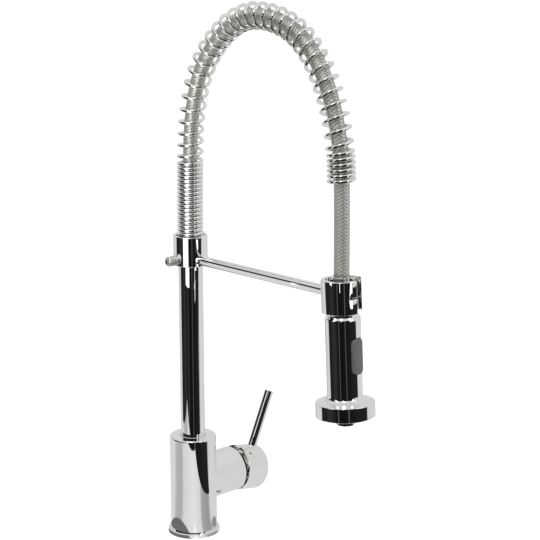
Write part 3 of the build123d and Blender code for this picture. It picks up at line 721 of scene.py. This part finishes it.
class TAP_OT_crimp(Operator):
    """Turn the crimped sleeve at the hose's lower end."""

    bl_idname = "tap.crimp"
    bl_label = "Crimped sleeve"

    def execute(self, context):
        profile = rounded([
            (CRIMP_BORE, CRIMP_LOW), (CRIMP_OUTSIDE, CRIMP_LOW, CRIMP_ROUND),
            (CRIMP_OUTSIDE, GROOVE_LOW, CRIMP_ROUND),
            (GROOVE_FLOOR, GROOVE_LOW + GROOVE_SLOPE, CRIMP_ROUND),
            (GROOVE_FLOOR, GROOVE_HIGH - GROOVE_SLOPE, CRIMP_ROUND),
            (CRIMP_OUTSIDE, GROOVE_HIGH, CRIMP_ROUND),
            (CRIMP_OUTSIDE, CRIMP_SHOULDER, 2 * CRIMP_ROUND), (CRIMP_LIP, CRIMP_HIGH, CRIMP_ROUND),
            (CRIMP_BORE, CRIMP_HIGH),
        ])
        mesh = mesh_of(turned(profile), "crimp", HANDSET)
        add_piece("hose_crimp", mesh, "crimp", ("hose_ferrule",), "hose_end")
        return {"FINISHED"}


# Thumb screw

SCREW_TIP = 0.0126
SCREW_HEAD_START = 0.01765
SCREW_HEAD_END = 0.0282
SCREW_RADIUS = 0.005
SCREW_SHANK = 0.0025
KNURL_STARTS = 22
KNURL_PITCH = 0.00143


def knurl_depth(turn, along):
    """0 on top of a diamond and 1 at the bottom of a groove."""
    around = turn / math.tau * KNURL_STARTS
    right = (around + along / KNURL_PITCH) % 1
    left = (around - along / KNURL_PITCH) % 1
    nearest = min(right, 1 - right, left, 1 - left)
    return max(0, 1 - nearest / 0.22)


class TAP_OT_thumb_screw(Operator):
    """Turn the thumb screw and press its diamond knurl."""

    bl_idname = "tap.thumb_screw"
    bl_label = "Knurled thumb screw"

    def execute(self, context):
        depth = context.scene.tap_sizes.knurl_depth
        bm = bmesh.new()
        around = KNURL_STARTS * 8
        grip_start, grip_end = SCREW_HEAD_START + 0.0008, SCREW_HEAD_END - 0.0011
        rows = 60
        profile = [(0, SCREW_TIP), (SCREW_SHANK - 0.0003, SCREW_TIP), (SCREW_SHANK, SCREW_TIP + 0.0003)]
        profile += [(SCREW_SHANK, SCREW_HEAD_START), (SCREW_RADIUS - 0.0006, SCREW_HEAD_START)]
        profile += [(SCREW_RADIUS - 0.0001, grip_start - 0.0002)]
        for row in range(rows + 1):
            profile.append((SCREW_RADIUS, grip_start + (grip_end - grip_start) * row / rows))
        profile += [(SCREW_RADIUS - 0.0002, grip_end + 0.0002)]
        profile += [(SCREW_RADIUS - 0.0010, SCREW_HEAD_END - 0.0001), (SCREW_RADIUS - 0.0013, SCREW_HEAD_END)]
        profile += [(0.0024, SCREW_HEAD_END - 0.0001)]
        profile += [(0.0021, SCREW_HEAD_END - 0.0006), (0, SCREW_HEAD_END - 0.0007)]
        loops = []
        for radius, height in profile:
            gripped = radius == SCREW_RADIUS
            loop = []
            for index in range(around if radius else 1):
                turn = math.tau * index / around
                cut = depth * knurl_depth(turn, height) if gripped else 0
                loop.append(bm.verts.new(
                    ((radius - cut) * math.cos(turn), (radius - cut) * math.sin(turn), height)
                ))
            loops.append(loop)
        for low, high in zip(loops, loops[1:]):
            join_loops(bm, low, high)
        mesh = mesh_of(bm, "thumb_screw", THUMB)
        add_piece("knurled_screw", mesh, "screw_steel", ("thumb_screw",), "thumb_screw")
        return {"FINISHED"}


# Holder ring

RING_RADIUS = 0.019
RING_BORE = 0.0145
RING_LOW = -0.0160
RING_HIGH = 0.0146
SLOT_HALF = 0.0093
SLOT_TURN = math.radians(-50.8)
SLIT_LOW = -0.00185
SLIT_HIGH = -0.00055
SLIT_ARC = math.radians(26)
RING_STEPS = 120


class TAP_OT_holder_ring(Operator):
    """Shape the holder ring with its slot, its thin slit and rounded edges."""

    bl_idname = "tap.holder_ring"
    bl_label = "Holder ring"

    def execute(self, context):
        edge = context.scene.tap_sizes.ring_edge
        bm = bmesh.new()
        heights = (RING_LOW, SLIT_LOW, SLIT_HIGH, RING_HIGH)
        columns = []
        for step in range(RING_STEPS + 1):
            column = []
            for radius in (RING_BORE, RING_RADIUS):
                half = math.asin(SLOT_HALF / radius)
                turn = SLOT_TURN + half + (math.tau - 2 * half) * step / RING_STEPS
                place = (radius * math.cos(turn), radius * math.sin(turn))
                column.append([bm.verts.new((*place, height)) for height in heights])
            columns.append(column)
        outer_arc = math.tau - 2 * math.asin(SLOT_HALF / RING_RADIUS)
        slit_step = RING_STEPS - round(SLIT_ARC / outer_arc * RING_STEPS)
        for step, (column, follow) in enumerate(zip(columns, columns[1:])):
            slit = step >= slit_step
            for layer in (0, 1, 2):
                if layer == 1 and slit:
                    continue
                for wall in (0, 1):
                    near, far = column[wall], follow[wall]
                    bm.faces.new((near[layer], far[layer], far[layer + 1], near[layer + 1]))
            for layer in (0, 3, 1, 2) if slit else (0, 3):
                bm.faces.new((column[0][layer], follow[0][layer], follow[1][layer], column[1][layer]))
        for column, layers in ((columns[0], (0, 1, 2)), (columns[-1], (0, 2)), (columns[slit_step], (1,))):
            for layer in layers:
                bm.faces.new((column[0][layer], column[1][layer], column[1][layer + 1], column[0][layer + 1]))
        bmesh.ops.recalc_face_normals(bm, faces=bm.faces)
        rims = [
            rim for rim in bm.edges
            if rim.calc_face_angle(0) > 1 and not any(SLIT_LOW <= v.co.z <= SLIT_HIGH for v in rim.verts)
        ]
        bmesh.ops.bevel(bm, geom=rims, offset=edge, segments=4, profile=0.5, affect="EDGES")
        mesh = mesh_of(bm, "ring", HANDSET)
        mesh.set_sharp_from_angle(angle=math.radians(50))
        add_piece("ring_with_slot", mesh, "chrome", ("holder_ring",), "bracket")
        return {"FINISHED"}


# Button

BUTTON_WIDTH = 0.014
BUTTON_LENGTH = 0.033
BUTTON_CORNER = 0.005
BUTTON_CENTRE = -0.0553
BUTTON_OUTER = 0.0185
BUTTON_BACK = 0.0139
BUTTON_DISH = 0.0004
BUTTON_DISH_INSETS = (0.0017, 0.0024, 0.0034, 0.0044, 0.0054, 0.0063)


def rounded_rectangle(width, length, corner, arc_steps=8, side_steps=6):
    """A rounded rectangle about the origin, with the same number of points whatever its size."""
    points = []
    for quarter, (side, end) in enumerate(((1, 1), (-1, 1), (-1, -1), (1, -1))):
        middle = Vector((side * (width / 2 - corner), end * (length / 2 - corner)))
        for step in range(arc_steps + 1):
            turn = math.pi / 2 * (quarter + step / arc_steps)
            points.append(middle + corner * Vector((math.cos(turn), math.sin(turn))))
        start = points[-1]
        side, end = ((-1, 1), (-1, -1), (1, -1), (1, 1))[quarter]
        turn = math.pi / 2 * (quarter + 1)
        stop = Vector((side * (width / 2 - corner), end * (length / 2 - corner)))
        stop += corner * Vector((math.cos(turn), math.sin(turn)))
        points += [start.lerp(stop, step / side_steps) for step in range(1, side_steps)]
    return points


class TAP_OT_button(Operator):
    """Mould the rocker button, rounded along its rim and slightly hollow where a finger rests."""

    bl_idname = "tap.button"
    bl_label = "Rocker button"

    def execute(self, context):
        edge = context.scene.tap_sizes.button_edge
        rim = [(edge * (1 - math.cos(turn)), edge * (1 - math.sin(turn))) for turn in
               (math.pi / 2 * step / 6 for step in range(7))]
        layers = [(0, BUTTON_OUTER - BUTTON_BACK), (0, edge + 0.0004)] + rim
        for inset in BUTTON_DISH_INSETS:
            share = (inset - edge) / (BUTTON_DISH_INSETS[-1] - edge)
            layers.append((inset, BUTTON_DISH * math.sin(math.pi / 2 * share) ** 2))
        bm = bmesh.new()
        loops = []
        for inset, depth in layers:
            outline = rounded_rectangle(
                BUTTON_WIDTH - 2 * inset, BUTTON_LENGTH - 2 * inset, max(BUTTON_CORNER - inset, 0.0004)
            )
            loops.append([
                bm.verts.new((x, depth - math.sqrt(BUTTON_OUTER**2 - x**2), z + BUTTON_CENTRE))
                for x, z in outline
            ])
        for low, high in zip(loops, loops[1:]):
            join_loops(bm, low, high)
        bm.faces.new(loops[0])
        bm.faces.new(loops[-1])
        add_piece("button_cap", mesh_of(bm, "button", BUTTON), "grey_plastic", ("rocker_button",), "rocker")
        return {"FINISHED"}


# Spray nozzles

FACE_BACK = -0.106
NOZZLE_TIP = -0.1121
NOZZLE_BORE = 0.0004
INNER_RING = 0.014
INNER_NOZZLES = 16
OUTER_RING = 0.0195
OUTER_NOZZLES = 22


class TAP_OT_nozzles(Operator):
    """Mould the rubber nozzles of the spray face, on two rings."""

    bl_idname = "tap.nozzles"
    bl_label = "Spray nozzles"

    def execute(self, context):
        outside = context.scene.tap_sizes.nozzle_width / 2
        profile = rounded([
            (NOZZLE_BORE, FACE_BACK), (outside, FACE_BACK), (outside, NOZZLE_TIP + 0.0006),
            (outside * 0.8, NOZZLE_TIP, 0.0002), (NOZZLE_BORE, NOZZLE_TIP, 0.0001),
        ], steps=3, hold=0.00002)
        nozzle = mesh_of(turned(profile, 16), "nozzle")
        mesh = nozzle_tree().mesh_from(
            nozzle, Inner_Radius=INNER_RING, Inner_Count=INNER_NOZZLES,
            Outer_Radius=OUTER_RING, Outer_Count=OUTER_NOZZLES, Material=finish("seal_rubber"),
        )
        mesh.transform(HANDSET)
        add_piece("nozzle_rings", mesh, "seal_rubber", ("spray_nozzles",), "handset")
        return {"FINISHED"}


class TAP_OT_finishes(Operator):
    """Mix the finishes and give each solid the finish of its slot."""

    bl_idname = "tap.finishes"
    bl_label = "Finishes"

    def execute(self, context):
        make_finishes(context.scene.tap_colours, context.scene.tap_sizes)
        for part in frame["record"]["subparts"]:
            solid = frame["nodes"][part["node"]]
            solid.data.materials.clear()
            solid.data.materials.append(finish(part["material_slot"]))
        return {"FINISHED"}


# Stage

CAMERA_PLACE = Vector((-1.03351, -1.54618, 0.74983))
CAMERA_AZIMUTH = math.radians(-33.76)
CAMERA_YAW = math.radians(-2.45)
CAMERA_PITCH = math.radians(14.26)
CAMERA_ROLL = math.radians(-0.16)
SENSOR_WIDTH = 36
HALF_PHOTO_PIXELS = 270
FOCAL_PIXELS = 1910.75
TOWARDS_CAMERA = Vector((CAMERA_PLACE.x, CAMERA_PLACE.y)).normalized()
CAMERA_RIGHT = Vector((-TOWARDS_CAMERA.y, TOWARDS_CAMERA.x))


def make_camera():
    """The photograph's camera, as it was fitted to the photograph's edges."""
    data = bpy.data.cameras.new("camera")
    camera = bpy.data.objects.new("camera", data)
    bpy.context.scene.collection.objects.link(camera)
    heading = CAMERA_AZIMUTH + CAMERA_YAW
    forward = Vector((-math.sin(heading), math.cos(heading), 0))
    right = Vector((forward.y, -forward.x, 0))
    up = Vector((0, 0, 1))
    look = math.cos(CAMERA_PITCH) * forward - math.sin(CAMERA_PITCH) * up
    top = math.sin(CAMERA_PITCH) * forward + math.cos(CAMERA_PITCH) * up
    side = math.cos(CAMERA_ROLL) * right + math.sin(CAMERA_ROLL) * top
    head = -math.sin(CAMERA_ROLL) * right + math.cos(CAMERA_ROLL) * top
    matrix = Matrix((side, head, -look)).transposed().to_4x4()
    matrix.translation = CAMERA_PLACE
    camera.matrix_world = matrix
    data.sensor_width = SENSOR_WIDTH
    data.lens = SENSOR_WIDTH / 2 / (HALF_PHOTO_PIXELS / FOCAL_PIXELS)
    bpy.context.scene.camera = camera


def light_path(s, kind):
    """1 for rays of one kind, such as those from the camera."""
    return Wire(s, s.raw("ShaderNodeLightPath").outputs[f"Is {kind} Ray"])


def make_world():
    """White to the camera. Metal sees a dark room in front, pale walls behind and a pale ceiling."""
    world = bpy.data.worlds.new("studio")
    bpy.context.scene.world = world
    s = Shading(world)
    x, y, z = s.split(s.coordinates("Generated"))
    turn = s.node("ShaderNodeMath", {"operation": "ARCTAN2"}, y, x)
    towards = math.atan2(TOWARDS_CAMERA.y, TOWARDS_CAMERA.x)
    azimuth = ((turn - towards) / math.tau + 0.5).fraction()
    walls = s.node(
        "ShaderNodeValToRGB",
        {"stops": [
            (0.0, 0.72), (0.13, 0.66), (0.200, 0.74), (0.208, 0.02), (0.26, 0.014), (0.31, 0.03),
            (0.335, 0.03), (0.36, 0.02), (0.39, 0.010), (0.408, 0.006), (0.417, 0.12), (0.426, 0.006),
            (0.50, 0.008), (0.518, 0.010), (0.526, 0.14), (0.534, 0.010), (0.58, 0.010), (0.62, 0.014),
            (0.68, 0.016), (0.735, 0.016), (0.743, 0.66), (0.79, 0.74), (1.0, 0.72),
        ]},
        azimuth,
    )
    opening = azimuth.step(0.655, 0.665) * z.step(-0.12, -0.08)
    line = azimuth.step(0.160, 0.165) * (1 - azimuth.step(0.206, 0.210)) * z.step(0.0, 0.02)
    line = line * (1 - z.step(0.31, 0.34))
    walls = s.mix(line, s.mix(opening, walls, grey(0.70)), grey(0.02))
    studio = s.mix(z.step(0.52, 0.62), walls, grey(0.74))
    seen = s.mix(light_path(s, "Glossy"), grey(0.75), studio)
    colour = s.mix(light_path(s, "Camera"), seen, grey(1.0))
    s.surface(s.node("ShaderNodeBackground", None, colour, 1.0), "ShaderNodeOutputWorld")


def shade_edge(front, right, centre, low, high):
    """0 inside a round shade on the floor and 1 outside it, smooth between two radii."""
    ahead, beside = front - centre[0], right - centre[1]
    return (ahead * ahead + beside * beside).root().step(low, high)


def make_floor():
    """A white floor. Metal sees a table top on it that ends near the tap's right, with painted shade by
    direction, painted shadows beside the tap's foot and a painted highlight in front of it.
    """
    bm = bmesh.new()
    bmesh.ops.create_grid(bm, x_segments=1, y_segments=1, size=4.0)
    floor = bpy.data.objects.new("floor", mesh_of(bm, "floor"))
    bpy.context.scene.collection.objects.link(floor)
    floor.location.z = -0.0002
    material = bpy.data.materials.new("floor")
    s = Shading(material)
    x, y, _ = s.split(s.coordinates())
    front = x * TOWARDS_CAMERA.x + y * TOWARDS_CAMERA.y
    right = x * CAMERA_RIGHT.x + y * CAMERA_RIGHT.y
    away = front.step(0.286, 0.292).at_least((0 - right).step(0.355, 0.361))
    cut = (front * 0.345 + right).step(0.146, 0.150) * (front - right * 0.498).step(-0.042, -0.038)
    away = away.at_least(cut)
    # Painted shadows of the tap on the table top, to the left and right of its foot.
    left_shade = shade_edge(front, right, (0.012, -0.034), 0.031, 0.036)
    right_shade = shade_edge(front, right, (-0.006, 0.047), 0.014, 0.018)
    # Painted highlight: a thin bright streak on the table top just in front of the foot.
    glint = (1 - (right - 0.002).absolute().step(0.002, 0.004)) * (1 - front.step(0.056, 0.066))
    # Painted shade: the table top seen in metal is painted darker in some directions from the tap's foot.
    bearing = s.node("ShaderNodeMath", {"operation": "ARCTAN2"}, right, front) / math.tau + 0.5
    painted_shade_by_bearing = s.node(
        "ShaderNodeValToRGB",
        {"stops": [
            (0.0, 0.70), (0.21, 0.74), (0.26, 0.50), (0.34, 0.46), (0.37, 0.72), (0.50, 0.84),
            (0.575, 0.74), (0.60, 0.40), (0.68, 0.34), (0.70, 0.38), (0.72, 0.72), (1.0, 0.70),
        ]},
        bearing,
    )
    bare = s.mix(left_shade, grey(0.16), s.mix(right_shade, grey(0.30), painted_shade_by_bearing))
    table = s.mix(glint, bare, grey(1.0))
    mirrored = s.node("ShaderNodeEmission", None, table, 1.0)
    open_air = s.node("ShaderNodeBsdfTransparent")
    in_metal = s.node("ShaderNodeMixShader", None, away, mirrored, open_air)
    diffuse = s.node("ShaderNodeBsdfDiffuse", None, grey(0.8))
    white = s.node("ShaderNodeEmission", None, grey(1.0), 0.62)
    to_camera = s.node("ShaderNodeAddShader", None, diffuse, white)
    plain = s.node("ShaderNodeMixShader", None, light_path(s, "Camera"), diffuse, to_camera)
    s.surface(s.node("ShaderNodeMixShader", None, light_path(s, "Glossy"), plain, in_metal))
    floor.data.materials.append(material)


def make_lamp(name, turn, distance, height, size, strength, aim=(0, 0, 0.3), shape="RECTANGLE"):
    """A soft box at a turn to the camera's right, its distance and height, and its strength per area."""
    turned_to = Matrix.Rotation(math.radians(turn), 2) @ TOWARDS_CAMERA
    place = Vector((turned_to.x * distance, turned_to.y * distance, height))
    data = bpy.data.lights.new(name, "AREA")
    data.shape = shape
    data.size, data.size_y = size
    data.energy = strength * math.pi * size[0] * size[1]
    lamp = bpy.data.objects.new(name, data)
    bpy.context.scene.collection.objects.link(lamp)
    lamp.matrix_world = frame_of(place, (0, 0, 1), place - Vector(aim)) @ Matrix.Rotation(math.pi / 2, 4, "Z")


class TAP_OT_stage(Operator):
    """Set the camera, the room, the floor and the lamps."""

    bl_idname = "tap.stage"
    bl_label = "Studio"

    def execute(self, context):
        context.scene.view_settings.view_transform = "Standard"
        make_camera()
        make_world()
        make_floor()
        make_lamp("collar left", -31, 0.115, 0.368, (0.066, 0.264), 1.5, aim=(-0.010, 0.0175, 0.368))
        make_lamp("collar right", 43.5, 0.15, 0.263, (0.020, 0.036), 3.0, aim=(0, 0, 0.263))
        make_lamp("front thread", 7.0, 0.495, 0.45, (0.012, 0.33), 1.6, aim=(0, -0.12, 0.45))
        make_lamp("spring left", -31.0, 0.43, 0.4475, (0.10, 0.315), 1.2, aim=(0, -0.12, 0.4475))
        make_lamp("right side", 41.8, 0.588, 0.418, (0.075, 0.375), 1.4, aim=(0, -0.12, 0.418))
        make_lamp("left lamp", -52, 2.0, 1.45, (0.24, 0.24), 5.0, shape="ELLIPSE")
        make_lamp("right lamp", 62, 2.0, 1.35, (0.24, 0.24), 5.0, shape="ELLIPSE")
        make_lamp("key", -10, 1.6, 1.9, (0.5, 0.5), 4.0)
        return {"FINISHED"}


# Add-on

OPERATORS = (
    TAP_OT_stage,
    TAP_OT_finishes,
    TAP_OT_hose,
    TAP_OT_spring,
    TAP_OT_crimp,
    TAP_OT_thumb_screw,
    TAP_OT_holder_ring,
    TAP_OT_button,
    TAP_OT_nozzles,
)


class TAP_PT_panel(Panel):
    """Sizes, colours and pieces of the tap."""

    bl_label = "Tap"
    bl_idname = "TAP_PT_panel"
    bl_space_type = "VIEW_3D"
    bl_region_type = "UI"
    bl_category = "Tap"

    def draw(self, context):
        for group in (context.scene.tap_sizes, context.scene.tap_colours):
            for name in group.__annotations__:
                self.layout.prop(group, name)
        for operator in OPERATORS:
            self.layout.operator(operator.bl_idname)


CLASSES = (TapSizes, TapColours, *OPERATORS, TAP_PT_panel)


def register():
    for cls in CLASSES:
        bpy.utils.register_class(cls)
    bpy.types.Scene.tap_sizes = PointerProperty(type=TapSizes)
    bpy.types.Scene.tap_colours = PointerProperty(type=TapColours)


def unregister():
    del bpy.types.Scene.tap_colours
    del bpy.types.Scene.tap_sizes
    for cls in reversed(CLASSES):
        bpy.utils.unregister_class(cls)


def main():
    register()
    bpy.ops.tap.stage()
    bpy.ops.tap.finishes()
    bpy.ops.tap.hose()
    bpy.ops.tap.spring()
    bpy.ops.tap.crimp()
    bpy.ops.tap.thumb_screw()
    bpy.ops.tap.holder_ring()
    bpy.ops.tap.button()
    bpy.ops.tap.nozzles()


if __name__ == "__main__":
    main()
